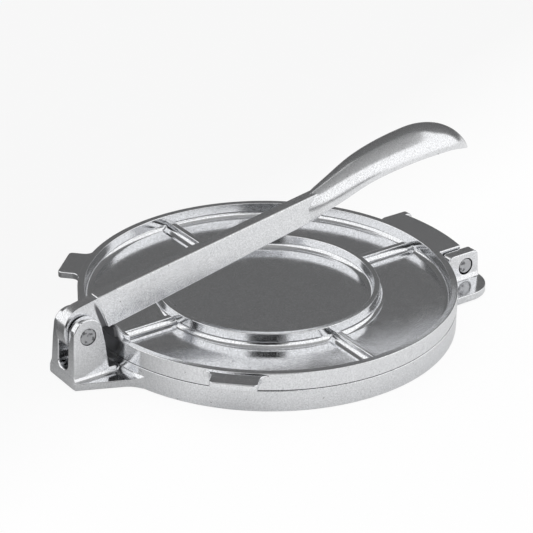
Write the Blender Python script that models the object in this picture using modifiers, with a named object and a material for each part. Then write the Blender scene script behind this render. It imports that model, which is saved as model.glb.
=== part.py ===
"""Cast aluminium tortilla press: two round platens hinged together, and a lever that squeezes them.

The long side of the press lies along X, from the lever's clevis at -X to the plate hinge at +X.
Z is up and the press stands on z = 0, with the origin under the middle of its box. Outlines are
measured from the common axis of the two platens, which stands a little beside the origin.
Each casting is one solid with its draft, walls and fillets, and the two pins are solids of their own.
"""

import math

import bmesh
import bpy
from mathutils import Matrix, Vector

PART_NAME = "tortilla_press"
SHAPES_NAME = "construction_shapes"

# Shared by all castings
GAP = 0.0003
OVERRUN = 0.005
OVERLAP = 0.0004
MERGE = 0.00001
SMOOTH_ANGLE_DEG = 35.0
BEVEL_ANGLE_DEG = 50.0
ARC_STEPS = 5
FINE_STEPS = 3
CREST_STEPS = 2
ROUND_STEPS = 64
PIN_STEPS = 32

# Platens
PLATE_RADIUS = 0.100
BASE_HEIGHT = 0.01155
TOP_HEIGHT = 0.0094
EDGE_ROUND = 0.0006
WALL_ROUND = 0.0011

# Reinforced face of a platen: rim, ring and spokes on a thin web
WEB_THICKNESS = 0.0034
RIM_WIDTH = 0.0036
CREST_ROUND = 0.0006
RING_RADIUS = 0.0576
RING_WIDTH = 0.0030
RING_DROP = 0.0005
FILLET_RADIUS = 0.0026
SPOKE_COUNT = 4
SPOKE_WIDTH = 0.0032
SPOKE_HEIGHT = 0.0030
SPOKE_FILLET = 0.0024

# Plate hinge on the +X side
HINGE_STANDOFF = 0.0103
HINGE_PIN_RADIUS = 0.0042
HINGE_HOLE_RADIUS = 0.0049
HINGE_PIN_SHIFT = 0.0003
PIN_RECESS = 0.0004
KNUCKLE_RADIUS = 0.0066
KNUCKLE_HALF_WIDTH = 0.0249
KNUCKLE_BOSS = 0.0002
TONGUE_STANDOFF = 0.0135
TONGUE_DROP = 0.0003
TONGUE_LIFT = 0.0003
LUG_SIDE_GAP = 0.0005
LUG_THICKNESS = 0.0064
LUG_OUTER = 0.0095
LUG_LEAN = 0.0014
LUG_INNER = 0.0117
LUG_RISE = 0.0080
LUG_CORNER = 0.0030
LUG_EDGE_ROUND = 0.0006
LUG_JOIN_DROP = 0.0008
LUG_FILLET = 0.0020
FOOT_LIFT = 0.0003
HINGE_FOOT_THICKNESS = 0.0045
HINGE_FOOT_HALF_WIDTH = 0.0380
HINGE_FOOT_CORNER = 0.0150
HINGE_FOOT_WAIST_INSET = 0.0205
HINGE_FOOT_WAIST_HALF_WIDTH = 0.0488
HINGE_FOOT_SPREAD_DEG = 33.0

# Lift tabs on the top platen
TAB_AZIMUTH_DEG = 134.0
TAB_HALF_WIDTH = 0.0120
TAB_STANDOFF = 0.0117
TAB_THICKNESS = 0.0037
TAB_DROP = 0.0008
TAB_CORNER = 0.0016
TAB_ROOT = 0.0028

# Pressing pad on the rim, under the lever
PAD_RISE = 0.0044
PAD_LENGTH = 0.0066
PAD_HALF_WIDTH = 0.0080
PAD_LEAN = 0.0026
PAD_INSET = 0.0004
PAD_ROUND = 0.0007

# Clevis on the base, on the -X side
CLEVIS_STANDOFF = 0.0154
LEVER_PIN_RADIUS = 0.0047
PIN_EDGE_ROUND = 0.0004
EAR_HALF_WIDTH = 0.0119
EAR_NARROWING = 0.0022
EAR_TOP_RADIUS = 0.0082
EAR_TOP_SHIFT = 0.0006
EAR_TOP_RISE = 0.0041
EAR_OUTER = 0.0103
EAR_KNEE = 0.0092
EAR_KNEE_DROP = 0.0012
EAR_KNEE_ROUND = 0.0080
EAR_FOOT_INSET = 0.0004
EAR_INNER = 0.0106
EAR_INNER_FILLET = 0.0060
EAR_EDGE_ROUND = 0.0007
SLOT_HALF_WIDTH = 0.0048
SLOT_FLOOR = 0.0076
SLOT_CORNER = 0.0040
CLEVIS_FOOT_THICKNESS = 0.0042
CLEVIS_FOOT_CORNER = 0.0010
CLEVIS_FOOT_SPREAD_DEG = 15.3
EAR_FOOT_FILLET = 0.0030
EAR_FOOT_LENGTH = 0.0225

# Lever hub and bar
CHEEK_GAP = 0.00035
HUB_RADIUS = 0.0099
CROWN_RADIUS = 0.0121
CROWN_SHIFT = 0.0020
CROWN_RISE = 0.0014
CROWN_START_DEG = 104.0
CROWN_END_DEG = 186.0
HUB_START_DEG = 200.0
BAR_BELOW_PIN = 0.0040
BAR_ABOVE_PIN = 0.0153
BAR_BOTTOM_SLOPE = 0.2002
BAR_TOP_SLOPE = 0.1595
BAR_NECK = 0.0194
BAR_HALF_WIDTH = 0.00537
BAR_LEAN_SLOPE = 0.146
BAR_EDGE_ROUND = 0.0007
SHOULDER_BOTTOM = 0.0144
SHOULDER_TOP = 0.0094
SHOULDER_ROUND = 0.0060
BAR_LENGTH = 0.1379
BAR_END_RAKE = 0.0095

# Hollow grip
GRIP_LENGTH = 0.1103
GRIP_HALF_WIDTH = 0.0140
GRIP_RIM_RISE = 0.0232
GRIP_ARCH = 0.0130
GRIP_WALL = 0.0030
GRIP_STATIONS = 40
ARCH_POINTS = 17
HOLLOW_STATIONS = 24
HOLLOW_START_SHARE = 0.14
HOLLOW_END_SHARE = 0.955

# Rows: share of the length, of the half width, of the rim's rise and of the arch's height
GRIP_STATION_SHARES = (
    (-0.055, 0.24, -0.020, 0.86),
    (0.020, 0.42, 0.035, 0.98),
    (0.080, 0.54, 0.215, 0.87),
    (0.165, 0.65, 0.375, 0.92),
    (0.310, 0.82, 0.690, 0.89),
    (0.455, 0.93, 0.870, 0.91),
    (0.600, 0.99, 0.970, 0.95),
    (0.710, 1.00, 1.000, 0.97),
    (0.815, 0.93, 0.985, 0.84),
    (0.895, 0.74, 0.890, 0.68),
    (0.955, 0.48, 0.785, 0.42),
    (0.990, 0.22, 0.700, 0.17),
    (1.000, 0.02, 0.665, 0.02),
)

# Levels and axes that follow from the sizes above
HINGE_Z = BASE_HEIGHT
TOP_FLOOR = BASE_HEIGHT + GAP
TOP_CREST = TOP_FLOOR + TOP_HEIGHT
TOP_WEB = TOP_FLOOR + WEB_THICKNESS
RIM_MIDDLE = PLATE_RADIUS - RIM_WIDTH / 2.0
HINGE_X = PLATE_RADIUS + HINGE_STANDOFF
LUG_INSIDE = KNUCKLE_HALF_WIDTH + LUG_SIDE_GAP
LUG_OUTSIDE = LUG_INSIDE + LUG_THICKNESS
PAD_OUTER = PLATE_RADIUS - PAD_INSET
PAD_TOP = TOP_CREST + PAD_RISE
LEVER_X = -(PLATE_RADIUS + CLEVIS_STANDOFF)
LEVER_Z = PAD_TOP + GAP + BAR_BELOW_PIN - BAR_BOTTOM_SLOPE * (CLEVIS_STANDOFF + PAD_INSET)
EAR_TOP_Z = LEVER_Z + EAR_TOP_RISE + EAR_TOP_RADIUS
EAR_LEAN_SLOPE = EAR_NARROWING / EAR_TOP_Z
BAR_END = LEVER_X + BAR_LENGTH
BAR_END_BOTTOM = LEVER_Z - BAR_BELOW_PIN + BAR_BOTTOM_SLOPE * BAR_LENGTH
GRIP_TIP = BAR_END + GRIP_LENGTH
CLEVIS_REACH = EAR_OUTER - LEVER_X
HINGE_REACH = HINGE_X + LUG_OUTER
AXIS_X = (CLEVIS_REACH - max(GRIP_TIP, HINGE_REACH)) / 2.0


def new_collection(name):
    """Collection linked under the scene."""
    collection = bpy.data.collections.new(name)
    bpy.context.scene.collection.children.link(collection)
    return collection


def finish_metal(name, color, roughness):
    """Metal with its own base colour and roughness."""
    material = bpy.data.materials.new(name)
    material.use_nodes = True
    shader = material.node_tree.nodes["Principled BSDF"]
    shader.inputs["Base Color"].default_value = (*color, 1.0)
    shader.inputs["Metallic"].default_value = 1.0
    shader.inputs["Roughness"].default_value = roughness
    return material


def arc(center, radius, start_deg, end_deg, steps=ARC_STEPS):
    """Points of a plane arc, with both ends."""
    points = []
    for step in range(steps + 1):
        angle = math.radians(start_deg + (end_deg - start_deg) * step / steps)
        points.append((center[0] + radius * math.cos(angle), center[1] + radius * math.sin(angle)))
    return points


def rounded(corners):
    """Points of a closed outline whose (x, y, radius) corners are rounded by arcs."""
    points = []
    for index, (x, y, radius) in enumerate(corners):
        corner = Vector((x, y))
        if radius == 0:
            points.append((x, y))
            continue
        back = (Vector(corners[index - 1][:2]) - corner).normalized()
        ahead = (Vector(corners[(index + 1) % len(corners)][:2]) - corner).normalized()
        half_angle = back.angle(ahead) / 2.0
        center = corner + (back + ahead).normalized() * radius / math.sin(half_angle)
        setback = radius / math.tan(half_angle)
        first = corner + back * setback - center
        last = corner + ahead * setback - center
        for step in range(ARC_STEPS + 1):
            spoke = first.slerp(last, step / ARC_STEPS).normalized() * radius
            points.append(tuple(center + spoke))
    return points


def add_object(name, mesh, collection):
    """Object on a mesh that is already in its place."""
    item = bpy.data.objects.new(name, mesh)
    collection.objects.link(item)
    return item


def add_shape(name, mesh):
    """Construction shape that a casting joins or cuts."""
    item = add_object(name, mesh, shapes)
    item.hide_render = True
    item.display_type = "WIRE"
    return item


# Turns a curve's own plane and extrusion into each main direction
FACING = {
    "X": Matrix(((0, 0, 1, 0), (1, 0, 0, 0), (0, 1, 0, 0), (0, 0, 0, 1))),
    "Y": Matrix(((1, 0, 0, 0), (0, 0, -1, 0), (0, 1, 0, 0), (0, 0, 0, 1))),
    "Z": Matrix.Identity(4),
}


def prism(name, outline, facing, low, high, turn_deg=0.0):
    """Solid between two levels of a flat outline, turned about the platens' axis."""
    curve = bpy.data.curves.new(name, "CURVE")
    curve.dimensions = "2D"
    curve.fill_mode = "BOTH"
    curve.extrude = (high - low) / 2.0
    spline = curve.splines.new("POLY")
    spline.points.add(len(outline) - 1)
    for point, (x, y) in zip(spline.points, outline):
        point.co = (x, y, 0.0, 1.0)
    spline.use_cyclic_u = True
    guide = add_object(name + "_guide", curve, shapes)
    middle = (low + high) / 2.0
    if facing == "Y":
        middle = -middle
    shift = Matrix.Translation((AXIS_X, 0.0, 0.0)) @ Matrix.Rotation(math.radians(turn_deg), 4, "Z")
    guide.matrix_world = shift @ FACING[facing] @ Matrix.Translation((0.0, 0.0, middle))
    mesh = bpy.data.meshes.new_from_object(guide.evaluated_get(bpy.context.evaluated_depsgraph_get()))
    mesh.transform(guide.matrix_world)
    bpy.data.objects.remove(guide)
    body = bmesh.new()
    body.from_mesh(mesh)
    bmesh.ops.remove_doubles(body, verts=body.verts, dist=MERGE)
    body.to_mesh(mesh)
    body.free()
    return add_shape(name, mesh)


def rod(name, radius, half_length, x, z):
    """Cylinder along Y at a place measured from the platens' axis."""
    mesh = bpy.data.meshes.new(name)
    body = bmesh.new()
    place = Matrix.Translation((AXIS_X + x, 0.0, z)) @ Matrix.Rotation(math.radians(90.0), 4, "X")
    bmesh.ops.create_cone(
        body,
        cap_ends=True,
        segments=PIN_STEPS,
        radius1=radius,
        radius2=radius,
        depth=2.0 * half_length,
        matrix=place,
    )
    body.to_mesh(mesh)
    body.free()
    return mesh


def flared_foot(name, half_x, half_y, x, y, level):
    """Concave fillet round the foot of a rectangular lug, standing on a level face."""
    mesh = bpy.data.meshes.new(name)
    body = bmesh.new()
    rings = []
    for step in range(FINE_STEPS + 1):
        angle = math.radians(90.0) * step / FINE_STEPS
        spread = LUG_FILLET * (1.0 - math.sin(angle))
        height = level + LUG_FILLET * (1.0 - math.cos(angle))
        if step == 0:
            height -= OVERLAP
        corners = []
        for side_x, side_y in ((-1, -1), (1, -1), (1, 1), (-1, 1)):
            corner_x = AXIS_X + x + side_x * (half_x + spread)
            corner_y = y + side_y * (half_y + spread)
            corners.append(body.verts.new((corner_x, corner_y, height)))
        rings.append(corners)
    skin(body, rings)
    body.to_mesh(mesh)
    body.free()
    return add_shape(name, mesh)


def skin(body, rings):
    """Faces between rings of equally many points, closed by a cap at each end."""
    count = len(rings[0])
    for low, high in zip(rings, rings[1:]):
        for index in range(count):
            after = (index + 1) % count
            body.faces.new((low[index], low[after], high[after], high[index]))
    body.faces.new(list(reversed(rings[0])))
    body.faces.new(rings[-1])
    bmesh.ops.recalc_face_normals(body, faces=body.faces)


def combine(target, tool, operation):
    """Join a shape to a casting, or cut it out."""
    modifier = target.modifiers.new(tool.name, "BOOLEAN")
    modifier.operation = operation
    modifier.object = tool


def round_edges(item, width, segments=1):
    """Small radius on the sharp edges of a shape."""
    modifier = item.modifiers.new("edge_round", "BEVEL")
    modifier.limit_method = "ANGLE"
    modifier.angle_limit = math.radians(BEVEL_ANGLE_DEG)
    modifier.width = width
    modifier.segments = segments


def platen_section(height):
    """Points (radius, height over the flat face) from the axis over the reinforced face and back."""
    fillet_level = WEB_THICKNESS + FILLET_RADIUS
    ring_round = height - RING_DROP - CREST_ROUND
    ring_inner = RING_RADIUS - RING_WIDTH / 2.0
    ring_outer = RING_RADIUS + RING_WIDTH / 2.0
    rim_inner = PLATE_RADIUS - RIM_WIDTH
    wall = PLATE_RADIUS - WALL_ROUND
    points = [(0.0, WEB_THICKNESS)]
    points += arc((ring_inner - FILLET_RADIUS, fillet_level), FILLET_RADIUS, -90.0, 0.0, FINE_STEPS)
    points += arc((ring_inner + CREST_ROUND, ring_round), CREST_ROUND, 180.0, 90.0, CREST_STEPS)
    points += arc((ring_outer - CREST_ROUND, ring_round), CREST_ROUND, 90.0, 0.0, CREST_STEPS)
    points += arc((ring_outer + FILLET_RADIUS, fillet_level), FILLET_RADIUS, 180.0, 270.0, FINE_STEPS)
    points += arc((rim_inner - FILLET_RADIUS, fillet_level), FILLET_RADIUS, -90.0, 0.0, FINE_STEPS)
    points += arc((rim_inner + CREST_ROUND, height - CREST_ROUND), CREST_ROUND, 180.0, 90.0, CREST_STEPS)
    points += arc((wall, height - WALL_ROUND), WALL_ROUND, 90.0, 0.0, FINE_STEPS)
    points += arc((PLATE_RADIUS - EDGE_ROUND, EDGE_ROUND), EDGE_ROUND, 0.0, -90.0, CREST_STEPS)
    points.append((0.0, 0.0))
    return points


def platen(name, section, collection):
    """Round plate turned from its half section."""
    mesh = bpy.data.meshes.new(name)
    edges = [(index, index + 1) for index in range(len(section) - 1)]
    mesh.from_pydata([(radius, 0.0, level) for radius, level in section], edges, [])
    item = add_object(name, mesh, collection)
    item.location = (AXIS_X, 0.0, 0.0)
    item.rotation_euler = (0.0, 0.0, math.pi / ROUND_STEPS)
    turn = item.modifiers.new("turn", "SCREW")
    turn.axis = "Z"
    turn.steps = ROUND_STEPS
    turn.render_steps = ROUND_STEPS
    turn.use_merge_vertices = True
    turn.merge_threshold = MERGE
    return item


def blended_section(half, height, fillet, level, upward):
    """Section (y, z) of a wall that stands on a level face and blends into it on both sides."""
    foot = half + fillet
    round_level = height - CREST_ROUND
    right = [(foot, -OVERLAP)]
    right += arc((foot, fillet), fillet, 270.0, 180.0, FINE_STEPS)
    right += arc((half - CREST_ROUND, round_level), CREST_ROUND, 0.0, 90.0, CREST_STEPS)
    left = [(-y, z) for y, z in reversed(right)]
    return [(y, level + upward * z) for y, z in right + left]


def add_spokes(casting, level, upward):
    """Spokes from the ring to the rim, evenly spaced from +X."""
    section = blended_section(SPOKE_WIDTH / 2.0, SPOKE_HEIGHT, SPOKE_FILLET, level, upward)
    for index in range(SPOKE_COUNT):
        name = "%s_spoke_%d" % (casting.name, index + 1)
        turn_deg = 360.0 * index / SPOKE_COUNT
        spoke = prism(name, section, "X", RING_RADIUS, RIM_MIDDLE, turn_deg)
        combine(casting, spoke, "UNION")


def add_hinge_foot(base):
    """Shelf at table level that carries the hinge lugs."""
    waist = HINGE_REACH - HINGE_FOOT_WAIST_INSET
    right = [(HINGE_REACH, HINGE_FOOT_HALF_WIDTH, HINGE_FOOT_CORNER)]
    right.append((waist, HINGE_FOOT_WAIST_HALF_WIDTH, 0))
    left = [(x, -y, radius) for x, y, radius in reversed(right)]
    inside = arc((0.0, 0.0), RIM_MIDDLE, HINGE_FOOT_SPREAD_DEG, -HINGE_FOOT_SPREAD_DEG)
    corners = right + [(x, y, 0) for x, y in inside] + left
    foot = prism("hinge_foot", rounded(corners), "Z", FOOT_LIFT, HINGE_FOOT_THICKNESS)
    combine(base, foot, "UNION")


def lug_outline():
    """Side view of a hinge lug, standing on the table and joined to the base plate."""
    outer = HINGE_X + LUG_OUTER
    top = HINGE_Z + LUG_RISE
    join = BASE_HEIGHT - LUG_JOIN_DROP
    inner = HINGE_X - LUG_INNER
    inside = math.sqrt(PLATE_RADIUS ** 2 - LUG_OUTSIDE ** 2) - OVERLAP
    sunk = HINGE_FOOT_THICKNESS / 2.0
    return rounded((
        (inside, sunk, 0),
        (outer - OVERLAP, sunk, 0),
        (outer - LUG_LEAN, top, LUG_CORNER),
        (inner, top, LUG_CORNER),
        (inner, join, 0),
        (inside, join, 0),
    ))


def add_hinge_lugs(base):
    """Two lugs on the foot, with their pin holes."""
    foot_middle = HINGE_X + (LUG_OUTER - LUG_INNER) / 2.0
    foot_half = (LUG_OUTER + LUG_INNER) / 2.0 - LUG_FILLET - OVERLAP
    lug_middle = (LUG_INSIDE + LUG_OUTSIDE) / 2.0
    for side, word in ((-1, "near"), (1, "far")):
        ends = sorted((side * LUG_INSIDE, side * LUG_OUTSIDE))
        lug = prism("hinge_lug_" + word, lug_outline(), "Y", *ends)
        round_edges(lug, LUG_EDGE_ROUND)
        combine(base, lug, "UNION")
        foot_half_y = LUG_THICKNESS / 2.0
        place = (foot_middle, side * lug_middle, HINGE_FOOT_THICKNESS)
        fillet = flared_foot("hinge_lug_fillet_" + word, foot_half, foot_half_y - OVERLAP, *place)
        combine(base, fillet, "UNION")
    half = LUG_OUTSIDE + OVERRUN
    bore = rod("hinge_lug_bore", HINGE_HOLE_RADIUS, half, HINGE_X - HINGE_PIN_SHIFT, HINGE_Z)
    combine(base, add_shape("hinge_lug_bore", bore), "DIFFERENCE")


def add_clevis_foot(base):
    """Shelf at table level that widens from the ears to the base plate."""
    inside = arc((0.0, 0.0), RIM_MIDDLE, 180.0 - CLEVIS_FOOT_SPREAD_DEG, 180.0 + CLEVIS_FOOT_SPREAD_DEG)
    half = EAR_HALF_WIDTH + EAR_FOOT_INSET
    corners = [(-CLEVIS_REACH, -half, CLEVIS_FOOT_CORNER), (-CLEVIS_REACH, half, CLEVIS_FOOT_CORNER)]
    corners += [(x, y, 0) for x, y in inside]
    foot = prism("clevis_foot", rounded(corners), "Z", FOOT_LIFT, CLEVIS_FOOT_THICKNESS)
    combine(base, foot, "UNION")


def ear_outline():
    """Side view of the clevis ears, with a round top and a fillet towards the plate."""
    knee = (LEVER_X - EAR_KNEE, LEVER_Z - EAR_KNEE_DROP, EAR_KNEE_ROUND)
    inner = LEVER_X + EAR_INNER
    top = (LEVER_X + EAR_TOP_SHIFT, LEVER_Z + EAR_TOP_RISE)
    sunk = CLEVIS_FOOT_THICKNESS / 2.0
    floor = CLEVIS_FOOT_THICKNESS - OVERLAP
    lower = rounded((
        (top[0] - EAR_TOP_RADIUS, top[1], 0),
        knee,
        (-CLEVIS_REACH + EAR_FOOT_INSET, sunk, 0),
        (-RIM_MIDDLE, sunk, 0),
        (-RIM_MIDDLE, floor, 0),
        (inner, floor, EAR_INNER_FILLET),
        (top[0] + EAR_TOP_RADIUS, top[1], 0),
    ))
    crown = arc(top, EAR_TOP_RADIUS, 0.0, 180.0, 2 * ARC_STEPS)
    return lower[:-1] + crown[:-1]


def add_clevis(base):
    """Ears that carry the lever's pin, with the slot for its hub."""
    half = EAR_HALF_WIDTH - 2.0 * EAR_FOOT_INSET
    section = blended_section(half, EAR_FOOT_FILLET + CREST_ROUND, EAR_FOOT_FILLET, CLEVIS_FOOT_THICKNESS, 1.0)
    start = -CLEVIS_REACH + 3.0 * EAR_FOOT_INSET
    combine(base, prism("clevis_foot_fillet", section, "X", start, start + EAR_FOOT_LENGTH), "UNION")
    ears = prism("clevis_ears", ear_outline(), "Y", -EAR_HALF_WIDTH, EAR_HALF_WIDTH)
    for vertex in ears.data.vertices:
        vertex.co.y -= math.copysign(EAR_LEAN_SLOPE * vertex.co.z, vertex.co.y)
    slot_top = EAR_TOP_Z + OVERRUN
    slot_outline = rounded((
        (-SLOT_HALF_WIDTH, SLOT_FLOOR, SLOT_CORNER),
        (SLOT_HALF_WIDTH, SLOT_FLOOR, SLOT_CORNER),
        (SLOT_HALF_WIDTH, slot_top, 0),
        (-SLOT_HALF_WIDTH, slot_top, 0),
    ))
    slot = prism("clevis_slot", slot_outline, "X", -CLEVIS_REACH - OVERRUN, -RIM_MIDDLE + OVERRUN)
    combine(ears, slot, "DIFFERENCE")
    round_edges(ears, EAR_EDGE_ROUND)
    combine(base, ears, "UNION")
    half = EAR_HALF_WIDTH + OVERRUN
    bore = rod("clevis_bore", LEVER_PIN_RADIUS + GAP, half, LEVER_X, LEVER_Z)
    combine(base, add_shape("clevis_bore", bore), "DIFFERENCE")


def make_base(collection):
    """Lower casting: base plate, hinge foot and lugs, clevis foot and ears."""
    section = [(radius, BASE_HEIGHT - level) for radius, level in platen_section(BASE_HEIGHT)]
    base = platen("base_casting", list(reversed(section)), collection)
    add_spokes(base, BASE_HEIGHT - WEB_THICKNESS, -1.0)
    add_clevis_foot(base)
    add_clevis(base)
    add_hinge_foot(base)
    add_hinge_lugs(base)
    return base


def add_tongue(top):
    """Tongue between the lugs, flush with the rim, with the knuckle that turns on the pin."""
    reach = PLATE_RADIUS + TONGUE_STANDOFF
    half = KNUCKLE_HALF_WIDTH - KNUCKLE_BOSS
    inner_deg = math.degrees(math.asin(half / RIM_MIDDLE))
    outer_deg = math.degrees(math.asin(half / reach))
    outline = arc((0.0, 0.0), RIM_MIDDLE, inner_deg, -inner_deg)
    outline += arc((0.0, 0.0), reach, -outer_deg, outer_deg)
    tongue = prism("hinge_tongue", outline, "Z", TOP_FLOOR + TONGUE_LIFT, TOP_CREST - TONGUE_DROP)
    round_edges(tongue, LUG_EDGE_ROUND)
    combine(top, tongue, "UNION")
    knuckle = rod("hinge_knuckle", KNUCKLE_RADIUS, KNUCKLE_HALF_WIDTH, HINGE_X, HINGE_Z)
    combine(top, add_shape("hinge_knuckle", knuckle), "UNION")
    half = KNUCKLE_HALF_WIDTH + OVERRUN
    bore = rod("hinge_knuckle_bore", HINGE_PIN_RADIUS + GAP, half, HINGE_X, HINGE_Z)
    combine(top, add_shape("hinge_knuckle_bore", bore), "DIFFERENCE")


def add_tabs(top):
    """Two tabs by which the open platen is held, left and right of the clevis."""
    reach = PLATE_RADIUS + TAB_STANDOFF
    wall = math.sqrt(PLATE_RADIUS ** 2 - TAB_HALF_WIDTH ** 2)
    foot = TAB_HALF_WIDTH + TAB_ROOT
    corners = (
        (RIM_MIDDLE * math.cos(foot / RIM_MIDDLE), -foot, 0),
        (wall, -foot, 0),
        (wall, -TAB_HALF_WIDTH, TAB_ROOT),
        (reach, -TAB_HALF_WIDTH, TAB_CORNER),
        (reach, TAB_HALF_WIDTH, TAB_CORNER),
        (wall, TAB_HALF_WIDTH, TAB_ROOT),
        (wall, foot, 0),
        (RIM_MIDDLE * math.cos(foot / RIM_MIDDLE), foot, 0),
    )
    high = TOP_CREST - TAB_DROP
    for side, word in ((-1, "near"), (1, "far")):
        name = "lift_tab_" + word
        tab = prism(name, rounded(corners), "Z", high - TAB_THICKNESS, high, side * TAB_AZIMUTH_DEG)
        round_edges(tab, EDGE_ROUND)
        combine(top, tab, "UNION")


def add_pad(top):
    """Raised pad on the rim that takes the lever's squeeze."""
    foot = PAD_HALF_WIDTH + PAD_LEAN
    outline = (
        (-foot, TOP_WEB - OVERLAP),
        (foot, TOP_WEB - OVERLAP),
        (PAD_HALF_WIDTH, PAD_TOP),
        (-PAD_HALF_WIDTH, PAD_TOP),
    )
    pad = prism("pressing_pad", outline, "X", -PAD_OUTER, -PAD_OUTER + PAD_LENGTH)
    round_edges(pad, PAD_ROUND)
    combine(top, pad, "UNION")


def make_top(collection):
    """Upper casting: reinforced platen, hinge tongue, lift tabs and pressing pad."""
    section = [(radius, TOP_FLOOR + level) for radius, level in platen_section(TOP_HEIGHT)]
    top = platen("top_plate_casting", section, collection)
    add_spokes(top, TOP_WEB, 1.0)
    add_pad(top)
    add_tabs(top)
    add_tongue(top)
    return top


def lever_outline():
    """Side view of hub and bar, from the hub's underside to the raked end in the grip."""
    slope_deg = math.degrees(math.atan(BAR_BOTTOM_SLOPE))
    reach = BAR_BELOW_PIN * math.cos(math.radians(slope_deg)) / HUB_RADIUS
    chin_deg = slope_deg - math.degrees(math.asin(reach))
    end_top = BAR_LENGTH + BAR_END_RAKE
    crown = (LEVER_X + CROWN_SHIFT, LEVER_Z + CROWN_RISE)
    outline = [(BAR_END, BAR_END_BOTTOM)]
    outline.append((LEVER_X + end_top, LEVER_Z + BAR_ABOVE_PIN + BAR_TOP_SLOPE * end_top))
    outline.append((LEVER_X + BAR_NECK, LEVER_Z + BAR_ABOVE_PIN + BAR_TOP_SLOPE * BAR_NECK))
    outline += arc(crown, CROWN_RADIUS, CROWN_START_DEG, CROWN_END_DEG)
    outline += arc((LEVER_X, LEVER_Z), HUB_RADIUS, HUB_START_DEG, 360.0 + chin_deg, 2 * ARC_STEPS)
    return outline


def add_cheeks(lever):
    """Flat cheeks on the hub, which end at a shoulder on the bar's leaning sides."""
    cheek = SLOT_HALF_WIDTH - CHEEK_GAP
    low = LEVER_Z - HUB_RADIUS - OVERRUN
    high = LEVER_Z + BAR_ABOVE_PIN + OVERRUN
    outer = LEVER_X - CROWN_RADIUS - OVERRUN
    outline = rounded((
        (outer, low, 0),
        (LEVER_X + SHOULDER_BOTTOM, low, 0),
        (LEVER_X + SHOULDER_BOTTOM, LEVER_Z, SHOULDER_ROUND),
        (LEVER_X + SHOULDER_TOP, high, 0),
        (outer, high, 0),
    ))
    for side, word in ((-1, "near"), (1, "far")):
        ends = sorted((side * cheek, side * (EAR_HALF_WIDTH + OVERRUN)))
        recess = prism("hub_cheek_" + word, outline, "Y", *ends)
        combine(lever, recess, "DIFFERENCE")


def grip_station(position):
    """Row of GRIP_STATION_SHARES at a position from 0 to 1 along the table, smoothly between rows."""
    rows = GRIP_STATION_SHARES
    place = min(position * (len(rows) - 1), len(rows) - 1 - MERGE)
    index = int(place)
    part = place - index
    near = [rows[max(0, min(len(rows) - 1, index + step))] for step in (-1, 0, 1, 2)]
    values = []
    for before, start, end, after in zip(*near):
        leave = (end - before) / 2.0
        arrive = (after - start) / 2.0
        bend = 3.0 * (end - start) - 2.0 * leave - arrive
        swing = 2.0 * (start - end) + leave + arrive
        values.append(start + part * (leave + part * (bend + part * swing)))
    return values


def grip_row_at(length_share):
    """Table position whose length share is the one asked for, found by halving."""
    low = 0.0
    high = 1.0
    for _ in range(40):
        middle = (low + high) / 2.0
        if grip_station(middle)[0] < length_share:
            low = middle
        else:
            high = middle
    return low


def arch_ring(body, values, inset, swell, drop):
    """Ring of points round an arched section of the grip, smaller by a wall and a swell share."""
    along, width, rise, arch = values
    x = AXIS_X + BAR_END + along * GRIP_LENGTH
    rim = BAR_END_BOTTOM + rise * GRIP_RIM_RISE
    half = (width * GRIP_HALF_WIDTH - inset) * swell
    height = (arch * GRIP_ARCH - inset) * swell
    ring = []
    for y, z in arc((0.0, 0.0), 1.0, 0.0, 180.0, ARCH_POINTS - 1):
        ring.append(body.verts.new((x, half * y, rim + height * z)))
    if drop > 0:
        ring.append(body.verts.new((x, -half, rim - drop)))
        ring.append(body.verts.new((x, half, rim - drop)))
    return ring


def make_grip():
    """Arched grip, open below like a spoon."""
    shell = bpy.data.meshes.new("grip_shell")
    body = bmesh.new()
    rings = []
    for step in range(GRIP_STATIONS + 1):
        rings.append(arch_ring(body, grip_station(step / GRIP_STATIONS), 0.0, 1.0, 0.0))
    skin(body, rings)
    body.to_mesh(shell)
    body.free()
    hollow = bpy.data.meshes.new("grip_hollow")
    body = bmesh.new()
    rings = []
    start = grip_row_at(HOLLOW_START_SHARE)
    end = grip_row_at(HOLLOW_END_SHARE)
    for step in range(1, HOLLOW_STATIONS):
        part = step / HOLLOW_STATIONS
        swell = math.sin(math.pi * part) ** 0.25
        values = grip_station(start + (end - start) * part)
        rings.append(arch_ring(body, values, GRIP_WALL, swell, OVERRUN))
    skin(body, rings)
    body.to_mesh(hollow)
    body.free()
    grip = add_shape("grip_shell", shell)
    combine(grip, add_shape("grip_hollow", hollow), "DIFFERENCE")
    return grip


def make_lever(collection):
    """Lever casting: hub, leaning bar and hollow grip."""
    bar = prism("lever_bar", lever_outline(), "Y", -BAR_HALF_WIDTH, BAR_HALF_WIDTH)
    middle_slope = (BAR_BOTTOM_SLOPE + BAR_TOP_SLOPE) / 2.0
    for vertex in bar.data.vertices:
        rise = vertex.co.z - LEVER_Z - middle_slope * (vertex.co.x - AXIS_X - LEVER_X)
        vertex.co.y -= math.copysign(BAR_LEAN_SLOPE * rise, vertex.co.y)
    lever = add_object("lever_casting", bar.data, collection)
    bpy.data.objects.remove(bar)
    round_edges(lever, BAR_EDGE_ROUND, 2)
    add_cheeks(lever)
    combine(lever, make_grip(), "UNION")
    half = EAR_HALF_WIDTH + OVERRUN
    bore = rod("hub_bore", LEVER_PIN_RADIUS + GAP, half, LEVER_X, LEVER_Z)
    combine(lever, add_shape("hub_bore", bore), "DIFFERENCE")
    return lever


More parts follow.
